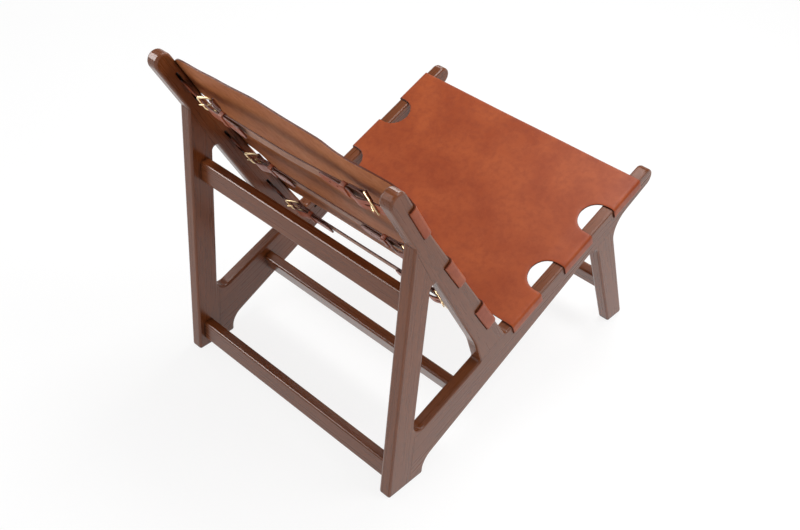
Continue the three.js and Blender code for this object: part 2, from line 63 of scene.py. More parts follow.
def make_camera():
    flat = math.cos(ELEVATION)
    back = Vector((math.sin(AZIMUTH) * flat, -math.cos(AZIMUTH) * flat, math.sin(ELEVATION)))
    right = (-back).cross(Vector((0, 0, 1))).normalized()
    up = right.cross(-back)
    c, s = math.cos(ROLL), math.sin(ROLL)
    turned = Matrix((c * right + s * up, c * up - s * right, back)).transposed().to_4x4()
    camera = bpy.data.objects.new("camera", bpy.data.cameras.new("camera"))
    bpy.context.scene.collection.objects.link(camera)
    camera.data.sensor_width = SENSOR
    camera.data.lens = LENS
    camera.data.clip_end = 50
    camera.matrix_world = Matrix.Translation(EYE) @ turned
    bpy.context.scene.camera = camera


make_camera()
print("lens", round(LENS, 2), "mm")

# %% [markdown]
# ## Helpers for materials
# A colour is written as the hex value that a paint program shows. Blender mixes light in
# linear values, so one function turns hex into linear. A second one adds a node: settings of
# the node are keywords, and its inputs are numbers, colours or the outputs of other nodes.

# %% Material helpers
def linear(hex_value):
    channels = [int(hex_value[i:i + 2], 16) / 255 for i in (1, 3, 5)]
    return (*[c / 12.92 if c <= 0.04045 else ((c + 0.055) / 1.055) ** 2.4 for c in channels], 1)


def add(tree, kind, inputs=None, **settings):
    node = tree.nodes.new(kind)
    for name, value in settings.items():
        setattr(node, name, value)
    for name, value in (inputs or {}).items():
        if isinstance(value, bpy.types.NodeSocket):
            tree.links.new(value, node.inputs[name])
        else:
            node.inputs[name].default_value = value
    return node


def new_material(name):
    """An empty material: its node tree and its output node."""
    material = bpy.data.materials.new(name)
    material.use_nodes = True
    material.node_tree.nodes.clear()
    return material, material.node_tree, add(material.node_tree, "ShaderNodeOutputMaterial")


PER_METRE, MM = 1000, 0.001


def scale_of(millimetres):
    """A texture scale that gives features of about this real size."""
    return PER_METRE / millimetres


print("cognac in linear", [round(c, 3) for c in linear("#a5502c")])

# %% [markdown]
# ## Walnut-stained wood under satin lacquer
# The boards are a close-grained hardwood, stained a red walnut brown and sprayed with satin
# lacquer. The stain gives the eye a dark, even brown with fine lines along each board. In corners
# and slots, and on the wood beside the leather, painted shade makes it nearly black. The lacquer
# gives a soft pale sheen on faces that mirror the white floor, and bright lines on the rounded
# edges. The grain runs along each board, so the texture's space is turned to it. All sizes of
# the pattern are in millimetres.

# %% Wood
GRAIN_LENGTH, GRAIN_WIDTH = 140, 5
FIGURE_LENGTH, FIGURE_WIDTH = 420, 34
PORE_LENGTH, PORE_WIDTH = 22, 1.5
# Painted shade: ambient occlusion within this reach darkens corners, slots and the wood by the
# leather.
SHADE_REACH = 14
STAIN_RED, STAIN_PALE, STAIN_DEEP = "#6e3a1c", "#814622", "#623419"
# The dark filler in the pores, and the near-black colour of the painted shade.
PORE_FILL, PAINTED_SHADE_COLOUR = "#331a0d", "#180b06"


def stained_walnut(name, turn, seed):
    """The stained colour, before pores and painted shade, with the textures that the rest needs."""
    material, tree, output = new_material(name)
    place = add(tree, "ShaderNodeTexCoord").outputs["Object"]
    place = add(tree, "ShaderNodeMapping", {"Vector": place, "Location": (seed, 0, 0)})
    turned = add(tree, "ShaderNodeMapping", {"Vector": place.outputs[0], "Rotation": turn})

    def along_grain(length, width):
        scale = (scale_of(width), scale_of(width), scale_of(length))
        stretched = {"Vector": turned.outputs[0], "Scale": scale}
        return add(tree, "ShaderNodeMapping", stretched).outputs[0]

    figure = add(tree, "ShaderNodeTexNoise", {
        "Vector": along_grain(FIGURE_LENGTH, FIGURE_WIDTH), "Scale": 1, "Detail": 2,
        "Distortion": 0.6})
    grain = add(tree, "ShaderNodeTexNoise", {
        "Vector": along_grain(GRAIN_LENGTH, GRAIN_WIDTH), "Scale": 1, "Detail": 5,
        "Roughness": 0.62, "Distortion": 0.25})
    pores = add(tree, "ShaderNodeTexNoise", {
        "Vector": along_grain(PORE_LENGTH, PORE_WIDTH), "Scale": 1, "Detail": 1, "Roughness": 0.5})
    pore_mask = add(tree, "ShaderNodeMapRange", {
        "Value": pores.outputs[0], "From Min": 0.58, "From Max": 0.7})
    light = add(tree, "ShaderNodeMapRange", {
        "Value": grain.outputs[0], "From Min": 0.3, "From Max": 0.72})
    stain = add(tree, "ShaderNodeMix", {
        "Factor": light.outputs[0], "A": linear(STAIN_RED), "B": linear(STAIN_PALE)},
        data_type="RGBA")
    broad = add(tree, "ShaderNodeMapRange", {
        "Value": figure.outputs[0], "From Min": 0.35, "From Max": 0.65, "To Max": 0.35})
    toned = add(tree, "ShaderNodeMix", {
        "Factor": broad.outputs[0], "A": stain.outputs["Result"], "B": linear(STAIN_DEEP)},
        data_type="RGBA")
    return material, tree, output, toned, pore_mask, grain


def walnut(name, turn, seed=0.0):
    """Stained, lacquered wood whose grain runs along the texture's turned Z axis."""
    material, tree, output, toned, pore_mask, grain = stained_walnut(name, turn, seed)
    dark = add(tree, "ShaderNodeMath", {0: pore_mask.outputs[0], 1: 0.4}, operation="MULTIPLY")
    colour = add(tree, "ShaderNodeMix", {
        "Factor": dark.outputs[0], "A": toned.outputs["Result"], "B": linear(PORE_FILL)},
        data_type="RGBA")
    # Painted shade: where ambient occlusion finds surfaces close by, the colour goes nearly black.
    occlusion = add(tree, "ShaderNodeAmbientOcclusion", {"Distance": SHADE_REACH * MM}, samples=6)
    painted_shade = add(tree, "ShaderNodeMapRange", {
        "Value": occlusion.outputs["AO"], "From Min": 0.25, "From Max": 0.8,
        "To Min": 0.92, "To Max": 0.0})
    colour = add(tree, "ShaderNodeMix", {
        "Factor": painted_shade.outputs[0], "A": colour.outputs["Result"], "B": linear(PAINTED_SHADE_COLOUR)},
        data_type="RGBA")
    sheen = add(tree, "ShaderNodeMapRange", {
        "Value": grain.outputs[0], "To Min": 0.24, "To Max": 0.32})
    bump = add(tree, "ShaderNodeBump", {
        "Height": pore_mask.outputs[0], "Strength": 0.03, "Distance": 0.1 * MM}, invert=True)
    shader = add(tree, "ShaderNodeBsdfPrincipled", {
        "Base Color": colour.outputs["Result"], "Roughness": sheen.outputs[0], "IOR": 1.5,
        "Specular IOR Level": 0.4, "Normal": bump.outputs[0]})
    tree.links.new(shader.outputs[0], output.inputs[0])
    return material


# How far each board leans, as the drawing of the side frame has it.
UPRIGHT_LEAN, LEG_LEAN, SEAT_PITCH, TOE_LEAN = (math.radians(d) for d in (30.1, 2.78, 22.05, 22.3))
BOARDS = {
    "back_upright": (UPRIGHT_LEAN, 0, 0),
    "rear_leg": (-LEG_LEAN, 0, 0),
    "seat_rail": (SEAT_PITCH - math.pi / 2, 0, 0),
    "front_leg": (TOE_LEAN, 0, 0),
}
CROSS_PIECES = ("back_rail", "rear_stretcher", "seat_stretcher", "front_stretcher")
ACROSS = (0, math.pi / 2, 0)
SHARP = math.radians(50)
SEED_STEP = 0.37


def dress_board(node, material):
    """A finish on a piece of the model, with smooth shading over its rounded edges."""
    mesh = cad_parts[node].data
    mesh.materials.clear()
    mesh.materials.append(material)
    mesh.polygons.foreach_set("use_smooth", [True] * len(mesh.polygons))
    mesh.set_sharp_from_angle(angle=SHARP)
    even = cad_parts[node].modifiers.new("even shading", "WEIGHTED_NORMAL")
    even.keep_sharp = True
    even.weight = 100


for board, turn in BOARDS.items():
    finish = walnut("stained_walnut_" + board, turn)
    for side in ("left", "right"):
        dress_board(f"{side}_{board}", finish)
for i, piece in enumerate(CROSS_PIECES):
    finish = walnut("stained_walnut_" + piece, ACROSS, seed=SEED_STEP * (i + 1))
    dress_board(piece, finish)
print("wooden pieces", 2 * len(BOARDS) + len(CROSS_PIECES))

# %% [markdown]
# ## Vegetable-tanned leather
# Saddle leather is cowhide, tanned with bark, dyed through and waxed. Its grain side gives the
# eye an orange brown with slow clouds of darker and lighter dye, thin pale wrinkles, fine pores
# and a waxy sheen. The flesh side is the cut inner face: paler, duller and slightly fibrous.
# The cut edges are burnished, so they look dark and polished. The cross straps are dyed nearly
# black on their grain side only, so their flesh side shows a dull tan; that tan is painted paler
# and greyer, a painted sheen of the white floor that it mirrors. The keepers are a thinner,
# redder leather. Sizes of the pattern are in millimetres.

# %% Leather
CLOUD, PORE, MOTTLE, FIBRE, WRINKLE = 85, 2.2, 14, 3.0, 46
UNEVEN = 0.08


def leather(name, dark, mid, pale, roughness, grain_size, bump_height, shine):
    """One face of a hide, from its three tones, its pore size and the height of its relief."""
    material, tree, output = new_material(name)
    place = add(tree, "ShaderNodeTexCoord").outputs["Object"]
    cloud = add(tree, "ShaderNodeTexNoise", {
        "Vector": place, "Scale": scale_of(CLOUD), "Detail": 4, "Roughness": 0.55,
        "Distortion": 0.4})
    mottle = add(tree, "ShaderNodeTexNoise", {
        "Vector": place, "Scale": scale_of(MOTTLE), "Detail": 4, "Roughness": 0.6})
    pores = add(tree, "ShaderNodeTexVoronoi", {
        "Vector": place, "Scale": scale_of(grain_size), "Randomness": 0.9}, feature="F1")
    depth = add(tree, "ShaderNodeMapRange", {
        "Value": cloud.outputs[0], "From Min": 0.32, "From Max": 0.68})
    broad = add(tree, "ShaderNodeMix", {
        "Factor": depth.outputs[0], "A": linear(mid), "B": linear(pale)}, data_type="RGBA")
    spots = add(tree, "ShaderNodeMapRange", {
        "Value": mottle.outputs[0], "From Min": 0.42, "From Max": 0.72, "To Max": 0.42})
    colour = add(tree, "ShaderNodeMix", {
        "Factor": spots.outputs[0], "A": broad.outputs["Result"], "B": linear(dark)},
        data_type="RGBA")
    folds = add(tree, "ShaderNodeTexNoise", {
        "Vector": place, "Scale": scale_of(WRINKLE), "Detail": 3, "Roughness": 0.5,
        "Distortion": 1.4})
    beside = add(tree, "ShaderNodeMath", {0: folds.outputs[0], 1: 0.5}, operation="SUBTRACT")
    beside = add(tree, "ShaderNodeMath", {0: beside.outputs[0]}, operation="ABSOLUTE")
    wrinkle = add(tree, "ShaderNodeMapRange", {
        "Value": beside.outputs[0], "From Min": 0.0, "From Max": 0.012,
        "To Min": 0.3, "To Max": 0.0})
    colour = add(tree, "ShaderNodeMix", {
        "Factor": wrinkle.outputs[0], "A": colour.outputs["Result"], "B": linear(pale)},
        data_type="RGBA")
    rough = add(tree, "ShaderNodeMapRange", {
        "Value": mottle.outputs[0], "To Min": roughness - UNEVEN, "To Max": roughness + UNEVEN})
    relief = add(tree, "ShaderNodeMath", {0: pores.outputs["Distance"], 1: mottle.outputs[0]},
                 operation="ADD")
    relief = add(tree, "ShaderNodeMath", {0: relief.outputs[0], 1: wrinkle.outputs[0]},
                 operation="SUBTRACT")
    bump = add(tree, "ShaderNodeBump", {
        "Height": relief.outputs[0], "Strength": 0.3, "Distance": bump_height / PER_METRE})
    shader = add(tree, "ShaderNodeBsdfPrincipled", {
        "Base Color": colour.outputs["Result"], "Roughness": rough.outputs[0], "IOR": 1.48,
        "Specular IOR Level": shine, "Normal": bump.outputs[0]})
    tree.links.new(shader.outputs[0], output.inputs[0])
    return material


saddle_grain = leather(
    "saddle_leather_grain", "#803114", "#98421e", "#aa5229", 0.38, PORE, 0.12, shine=0.25)
saddle_flesh = leather(
    "saddle_leather_flesh", "#8c4c2c", "#ac6740", "#bd784e", 0.55, FIBRE, 0.15, shine=0.08)
burnished_edge = leather(
    "saddle_leather_burnished_edge", "#3a190e", "#562716", "#6b331f", 0.38, PORE, 0.05, shine=0.25)
strap_grain = leather(
    "dark_strap_leather_grain", "#22110a", "#38200f", "#482a1a", 0.4, PORE, 0.12, shine=0.2)
# Painted sheen: this tan is made paler and greyer than bare flesh, for the mirrored white floor.
strap_flesh_painted_sheen = leather(
    "strap_leather_flesh_painted_sheen", "#875c49", "#a2745e", "#b2856d", 0.5, FIBRE, 0.15, shine=0.15)
keeper_hide = leather(
    "keeper_leather", "#7a3519", "#94482a", "#a85a38", 0.42, PORE, 0.1, shine=0.3)
print("leather finishes: saddle grain, flesh and edge, strap grain and flesh, keeper")

# %% [markdown]
# ## Polished pale brass
# The buckles are cast brass, tumbled and polished. Brass is all mirror and no paint: its colour
# is the colour of its reflections, a pale straw gold. Fine tumbling marks break the mirror up.

# %% Brass
SCRATCH, TARNISH = 1.2, 12


def polished_brass():
    material, tree, output = new_material("polished_pale_brass")
    place = add(tree, "ShaderNodeTexCoord").outputs["Object"]
    marks = add(tree, "ShaderNodeTexNoise", {
        "Vector": place, "Scale": scale_of(SCRATCH), "Detail": 3, "Roughness": 0.7})
    tarnish = add(tree, "ShaderNodeTexNoise", {
        "Vector": place, "Scale": scale_of(TARNISH), "Detail": 2})
    colour = add(tree, "ShaderNodeMix", {
        "Factor": tarnish.outputs[0], "A": linear("#e0c089"), "B": linear("#f6e3bd")},
        data_type="RGBA")
    rough = add(tree, "ShaderNodeMapRange", {
        "Value": marks.outputs[0], "To Min": 0.28, "To Max": 0.42})
    bump = add(tree, "ShaderNodeBump", {
        "Height": marks.outputs[0], "Strength": 0.06, "Distance": 0.1 * MM})
    shader = add(tree, "ShaderNodeBsdfPrincipled", {
        "Base Color": colour.outputs["Result"], "Metallic": 1.0, "Roughness": rough.outputs[0],
        "Normal": bump.outputs[0]})
    tree.links.new(shader.outputs[0], output.inputs[0])
    return material


brass = polished_brass()
print("brass ready")

# %% [markdown]
# ## Where leather lies
# Each sheet has its own flat space: x across the chair, y up the board, and z out of the wood
# towards the sitter. One matrix per sheet lays that space into the chair. Numbers for the
# slots and belts repeat those of the model, so that leather passes through every slot freely.
#
# A sheet's values are the height of its cut, where its tabs begin and end along the board, how
# deep each slot lies below the board's face, the radius of its notches, the width and height of
# a rounded top corner, and how far each cross strap sags.

# %% Places of the sheets
# How far the drawing of the side frame is moved along Y to stand about the model's origin.
SHIFT = 363.82
HALF_WIDTH, BOARD, EDGE_ROUND = 292, 26, 4
INNER_FACE = HALF_WIDTH - BOARD
LEATHER, GAP, FOLD_RADIUS = 3, 0.35, 2.4
MID = GAP + LEATHER / 2
NOTCH_END = 241
BACK_ANGLE, BEND = math.radians(33.3), math.radians(3.2)
BEND_PLACE = 135
STRAP_WIDTH, STRAP_THICK = 29, 2.6


def laid(start, turn):
    """The matrix of a sheet's flat space, from its upper or rear end in the drawing."""
    y, z = start
    return Matrix.Translation((0, (y + SHIFT) * MM, z * MM)) @ Matrix.Rotation(turn, 4, "X") \
        @ Matrix.Scale(MM, 4)


BACK = {
    "name": "back", "length": 498, "matrix": laid((8.62, 705.64), math.pi / 2 - BACK_ANGLE),
    "tabs": [(45, 125), (231.5, 311.5), (418, 498)], "slots": [13.39, 16.21, 21.68],
    "notch_round": 36, "corner": (90, 44), "sags": [9, 1.5, 1.5],
}
SEAT = {
    "name": "seat", "length": 414, "matrix": laid((-325.72, 230.66), -SEAT_PITCH),
    "tabs": [(0, 89), (162.5, 251.5), (325, 414)], "slots": [22.5, 22.5, 22.5],
    "notch_round": 36.7, "corner": None, "sags": [2, 2, 2],
}
BUCKLE_BAR, BELT_ROOM = 1.75, 0.35
HEEL_RISE = LEATHER / 2 + BELT_ROOM + BUCKLE_BAR + BELT_ROOM + STRAP_THICK
FRONT_DROP = LEATHER / 2 + BELT_ROOM + BUCKLE_BAR
BUCKLE_REACH = 28
BUCKLE_TILT = math.asin((HEEL_RISE + FRONT_DROP) / BUCKLE_REACH)
HEEL_BACK = BUCKLE_REACH * math.cos(BUCKLE_TILT) / 2
BUCKLE_INSET, KEEPER_INSET, TIP_INSET = 66, 54, 111
BUCKLE = INNER_FACE - BUCKLE_INSET
HEEL_BAR = BUCKLE - HEEL_BACK
KEEPER = BUCKLE - KEEPER_INSET
TAIL_TIP = BUCKLE - TIP_INSET
TAIL_SLACK = 2
BELT_BELOW_SLOT = 8
LEFT_STRAP = {"at_bar": 2.1, "steepness": 12}
RIGHT_STRAP = {"at_bar": 0, "steepness": 1.3}
TAIL_AT_KEEPER = HEEL_RISE - STRAP_THICK - BELT_ROOM - LEATHER / 2 - TAIL_SLACK


def belt_depth(slot):
    return slot + BELT_BELOW_SLOT


def strap_drop(sag, x):
    """How far a cross strap hangs below its buckles' level, at a place across the chair."""
    half = LEFT_STRAP if x > 0 else RIGHT_STRAP
    fullness = 1 - min(abs(x) / HEEL_BAR, 1) ** half["steepness"]
    return half["at_bar"] + (sag - half["at_bar"]) * fullness


def row_matrix(sheet, k):
    """The space of one row of belts. The back's first row lies above the bend."""
    if sheet is not BACK or k > 0:
        return sheet["matrix"]
    hinge = Matrix.Translation((0, -BEND_PLACE, 0))
    return sheet["matrix"] @ hinge @ Matrix.Rotation(BEND, 4, "X") @ hinge.inverted()


def bent(sheet, x, y, z):
    """A point of the flat cut where it really lies: above the bend the back stands steeper."""
    if sheet is not BACK or y <= -BEND_PLACE:
        return x, y, z
    rise = y + BEND_PLACE
    return (x, rise * math.cos(BEND) - z * math.sin(BEND) - BEND_PLACE,
            rise * math.sin(BEND) + z * math.cos(BEND))


print("heel bar at", round(HEEL_BAR, 2), "mm, tilt", round(math.degrees(BUCKLE_TILT), 1))

# %% [markdown]
# ## From a path to leather
# A sheet or strap is a net of points: columns across and rows along. The net is the middle of
# the leather. Blender's Solidify gives it thickness, with separate materials for grain side,
# flesh side and cut edge. A small Bevel rounds the rims as an edge tool does, and the edge's
# dark dye runs onto them.

# %% Nets
HOLE_CORNER = 0.76
EDGE_SLOT = 2
RIM_ANGLE = math.radians(55)


class Net:
    """Points by (column, row) key, faces between them, and round holes."""

    def __init__(self):
        self.bm = bmesh.new()
        self.points = {}

    def point(self, key, position):
        self.points[key] = self.bm.verts.new(position)

    def quad(self, *keys):
        corners = [self.points[k] for k in keys]
        if len(set(corners)) == 4:
            self.bm.faces.new(corners)

    def hole(self, key, reach, width):
        """Opens a rounded hole about a point, inside the ring of its eight neighbours."""
        c, r = key
        steps = [(1, 0), (1, 1), (0, 1), (-1, 1), (-1, 0), (-1, -1), (0, -1), (1, -1)]
        centre = self.points[key]
        outer = [self.points[(c + i, r + j)] for i, j in steps]
        u = (outer[0].co - outer[4].co).normalized()
        v = (outer[2].co - outer[6].co).normalized()
        ring = []
        for i, j in steps:
            share = 1 if i == 0 or j == 0 else HOLE_CORNER
            offset = u * i * reach * share + v * j * width * share
            ring.append(self.bm.verts.new(centre.co + offset))
        bmesh.ops.delete(self.bm, geom=[centre], context="VERTS")
        for k in range(8):
            n = (k + 1) % 8
            self.bm.faces.new((outer[k], outer[n], ring[n], ring[k]))


def piece_from(bm, name, materials, thickness=None, round_edge=0.5, matrix=Matrix()):
    """An object from a net or solid. Three materials are grain side, flesh side and edge."""
    layered = len(materials) == 3
    mesh = bpy.data.meshes.new(name)
    bmesh.ops.recalc_face_normals(bm, faces=bm.faces)
    bm.transform(matrix)
    bm.to_mesh(mesh)
    bm.free()
    piece = bpy.data.objects.new(name, mesh)
    bpy.context.scene.collection.objects.link(piece)
    for material in materials:
        mesh.materials.append(material)
    if thickness:
        body = piece.modifiers.new("thickness", "SOLIDIFY")
        body.thickness = thickness * MM
        body.offset = 0
        body.use_even_offset = True
        body.use_quality_normals = True
        if layered:
            body.material_offset = 1
            body.material_offset_rim = EDGE_SLOT
    if round_edge:
        soft = piece.modifiers.new("edge tool", "BEVEL")
        soft.width = round_edge * MM
        soft.segments = 2
        soft.limit_method = "ANGLE"
        soft.angle_limit = RIM_ANGLE
        if layered:
            soft.material = EDGE_SLOT
    mesh.polygons.foreach_set("use_smooth", [True] * len(mesh.polygons))
    return piece


def arc(centre, radius, start, end, steps):
    """Points along an arc between two angles in degrees."""
    angles = np.radians(np.linspace(start, end, steps + 1))
    return [(centre[0] + radius * math.cos(a), centre[1] + radius * math.sin(a)) for a in angles]


def smoothed(points, spacing):
    """A soft curve near the corner points, as leather bends, in even steps."""
    line = np.array(points, float)
    for _ in range(3):
        cut = [line[0]]
        for a, b in zip(line[:-1], line[1:]):
            cut += [a * 0.75 + b * 0.25, a * 0.25 + b * 0.75]
        line = np.array(cut + [line[-1]])
    steps = np.concatenate([[0], np.cumsum(np.linalg.norm(np.diff(line, axis=0), axis=1))])
    places = np.linspace(0, steps[-1], max(int(steps[-1] / spacing), 2) + 1)
    return [(np.interp(p, steps, line[:, 0]), np.interp(p, steps, line[:, 1])) for p in places]


print("net helpers ready")

# %% [markdown]
# ## How the sheets hang
# Nobody sits here, so the leather is nearly flat between the boards, but it was cut from a hide
# and drawn tight at six points only. The free top edge of the back curls forward in the middle
# and dips beside the near board. The values are how far the leather stands out of the boards'
# plane at places across the chair, as the outline of that edge shows them.

# %% Waves
BACK_TOP = (
    [-262, -230, -196, -171, -137, -114, -86, -24, 0, 50, 73, 97, 122, 148, 172, 198, 230, 262],
    [0, -3.0, -5.0, -5.8, -4.5, -0.8, -0.4, 0, 0.8, 2.0, 0.9, -0.4, -1.5, -1.5, -3.2, -4.0, -3.0, 0])
BACK_LOW = ([-262, -150, 0, 150, 262], [0, 2.6, 3.0, 2.6, 0])
SEAT_REAR = ([-262, -120, 0, 120, 262], [0, -2.0, -3.0, -2.0, 0])
SEAT_FRONT = ([-262, -200, -90, 0, 72, 188, 262], [0, -0.6, -0.3, -1.0, -1.4, -0.2, 0])
WAVE_BLUR, WAVE_SAMPLES = 14, 9
CALM_MARGIN = 20
RIPPLE, RIPPLE_LENGTH, RIPPLE_TURN = 0.5, 47, 2.1


def blurred(profile, x):
    near = x + np.linspace(-WAVE_BLUR, WAVE_BLUR, WAVE_SAMPLES)
    return float(np.mean(np.interp(near, *profile)))


def wave(sheet, x, y):
    """How far the leather stands out of its plane. It is calm where the boards carry it."""
    if abs(x) >= INNER_FACE:
        return 0.0
    first, last = (BACK_TOP, BACK_LOW) if sheet is BACK else (SEAT_REAR, SEAT_FRONT)
    share = y / sheet["length"]
    calm = min((INNER_FACE - abs(x)) / CALM_MARGIN, 1)
    ripple = RIPPLE * math.sin(x / RIPPLE_LENGTH + RIPPLE_TURN * share) * math.sin(math.pi * share)
    return calm * (blurred(first, x) * (1 - share) ** 2 + blurred(last, x) * share + ripple)


print("the back's top edge at its middle stands out by", round(wave(BACK, 0, 0), 1), "mm")

# %% [markdown]
# ## The two slings
# Each sling is one piece of leather: a sheet with three tabs a side. A tab folds over the
# board's rounded edge, runs down the outer face, turns into a slot and comes out inside as a
# narrow tail with holes. The rows of the net keep to the tabs and tails, so that the notches
# and tails come from leaving out faces. The uppermost left belt is the loosest: its tail falls
# away soon after the buckle, and the tip droops.

# %% Slings
TAB_ROWS, TAIL_ROWS, NOTCH_ROWS = 5, 6, 4
SHEET_STEP, SHEET_RIM = 9, 1.1
HALF_TAIL = STRAP_WIDTH / 2
LEFT_CORNER_POWER = 2.3
NOTCH_START = 0.25
FIRST_BEND, NOTCH_COLUMNS = 0.12, 9


def notch_half(sheet, width, x):
    """Half the height of a notch at a place across the chair."""
    r = sheet["notch_round"]
    deep = min(max(x - NOTCH_END, NOTCH_START), r)
    return width / 2 - r + math.sqrt(r * r - (r - deep) ** 2)


def tab_edges(sheet, k, place):
    """Where a tab begins and ends along the board, at a place across the chair."""
    low, high = sheet["tabs"][k]
    x = abs(place)
    if k == 0 and sheet["corner"] and x <= HALF_WIDTH - EDGE_ROUND + 0.01:
        wide, high_part = sheet["corner"]
        over = max(x - (HALF_WIDTH - EDGE_ROUND - wide), 0) / wide
        ellipse = 1 - math.sqrt(max(1 - over * over, 0))
        low = high_part * (over ** LEFT_CORNER_POWER if place > 0 else ellipse)
    edges = sheet["tabs"]
    if k > 0:
        width = edges[k][0] - edges[k - 1][1]
        low = (edges[k][0] + edges[k - 1][1]) / 2 + notch_half(sheet, width, x)
    if k < 2:
        width = edges[k + 1][0] - edges[k][1]
        high = (edges[k + 1][0] + edges[k][1]) / 2 - notch_half(sheet, width, x)
    return low, high


def tab_lines(sheet, k, x):
    """The row lines of a tab at a place: outer part, tail part, outer part."""
    low, high = tab_edges(sheet, k, x)
    middle = sum(sheet["tabs"][k]) / 2
    first = np.linspace(low, middle - HALF_TAIL, TAB_ROWS + 1)
    tail = np.linspace(middle - HALF_TAIL, middle + HALF_TAIL, TAIL_ROWS + 1)
    last = np.linspace(middle + HALF_TAIL, high, TAB_ROWS + 1)
    return [*first, *tail[1:], *last[1:]]


ROWS_IN_TAB = 2 * TAB_ROWS + TAIL_ROWS + 1
ROW_PITCH = ROWS_IN_TAB + NOTCH_ROWS - 1
# Leather in a slot ends just inside each face, so that the slot itself stays dark and hollow.
SLOT_OUTER_END, SLOT_INNER_END = 286, 282


def wrap_path(slot):
    """Over the board's edge, down the outer face and into the slot, as (across, out)."""
    edge = (HALF_WIDTH - EDGE_ROUND, -EDGE_ROUND)
    fold = (HALF_WIDTH + MID - FOLD_RADIUS, FOLD_RADIUS - slot)
    over = arc(edge, EDGE_ROUND + MID, 90, 0, 8)[1:]
    down = [(over[-1][0], v) for v in np.linspace(over[-1][1], fold[1], 4)[1:]]
    into = arc(fold, FOLD_RADIUS, 0, -90, 6)[1:]
    return over + down + into + [(SLOT_OUTER_END, -slot)]


PRONG_HOLE = HEEL_BAR + 12.5
SPARE_HOLES = (KEEPER - 17, KEEPER - 34)
PRONG_HOLE_HALVES, SPARE_HOLE_HALVES = (8.2, 2.5), (2.1, 2.1)
PRONG_ROOM, SPARE_ROOM = 9.5, 5
EASE_PLACE, EASE_SHARE, BEND_STEP = 246, 0.25, 5
BAR_ROOM, KEEPER_ROOM = 3, 8
ARCH_STEPS, ARCH_STOPS = 8, 17
DEEP_SAG = 5
LOOSE_TAIL = {"bulge": 2, "droop": 3, "ease": 0.6}
FIRM_TAIL = {"bulge": 6, "droop": 0, "ease": 1}
TIP_STEPS = (12, 8, 5, 2.5, 1, 0)
TIP_ROUND = 9


def tail_path(sheet, k, sign):
    """Out of the slot, through the buckle, in an arch to the keeper, and on to the tip."""
    slot = sheet["slots"][k]
    depth = belt_depth(slot)
    at_keeper = TAIL_AT_KEEPER - strap_drop(sheet["sags"][k], sign * KEEPER) - depth
    hang = LOOSE_TAIL if sign > 0 and sheet["sags"][k] > DEEP_SAG else FIRM_TAIL
    bar = BUCKLE + HEEL_BACK
    start, end = bar - BAR_ROOM, KEEPER + KEEPER_ROOM
    inside = smoothed([(SLOT_INNER_END, -slot), (INNER_FACE, -slot),
                       (EASE_PLACE, -slot - EASE_SHARE * (depth - slot)),
                       (bar + 8, -depth), (start + 1, -depth)], BEND_STEP)
    arch = []
    for s in np.linspace(0, 1, ARCH_STEPS + 1)[1:]:
        level = -depth + (at_keeper + depth) * s ** hang["ease"]
        arch.append((start + (end - start) * s, level - hang["bulge"] * math.sin(math.pi * s) ** 2))
    line = [(start, -depth), *arch, (KEEPER - KEEPER_ROOM, at_keeper)]
    xs, outs = zip(*reversed(line))
    before = PRONG_HOLE + PRONG_ROOM
    beside = (before, PRONG_HOLE)
    stops = sorted([*np.linspace(start - 4, KEEPER - 6, ARCH_STOPS), *beside], reverse=True)
    bend = [(x, float(np.interp(x, xs, outs))) for x in stops
            if x in beside or not PRONG_HOLE - 9 < x < before]
    ends = [(x, at_keeper) for h in SPARE_HOLES for x in (h + SPARE_ROOM, h, h - SPARE_ROOM)]
    ends += [(TAIL_TIP + d, at_keeper) for d in TIP_STEPS if TAIL_TIP + d < ends[-1][0] - 1]
    reach = KEEPER - KEEPER_ROOM - TAIL_TIP
    slack = [(x, out - hang["droop"] * (1 - (x - TAIL_TIP) / reach)) for x, out in ends]
    return inside + bend + slack


def tail_half(x):
    """Half the width of a tail: its tip is rounded off."""
    r = TIP_ROUND
    left = x - TAIL_TIP
    if left >= r:
        return HALF_TAIL
    return HALF_TAIL - r + math.sqrt(r * r - (r - left) ** 2)


def add_column(net, sheet, sign, column, k, lines, x, out, only_tail=False):
    """One column of points of a tab or tail. It returns the rows that the column has."""
    rows = range(len(lines))
    if only_tail:
        rows = range(TAB_ROWS, TAB_ROWS + TAIL_ROWS + 1)
    for i in rows:
        y = lines[i]
        height = out + (wave(sheet, sign * x, y) if out > 0 else 0)
        net.point((sign * column, k * ROW_PITCH + i), bent(sheet, sign * x, -y, height))
    return set(k * ROW_PITCH + i for i in rows)


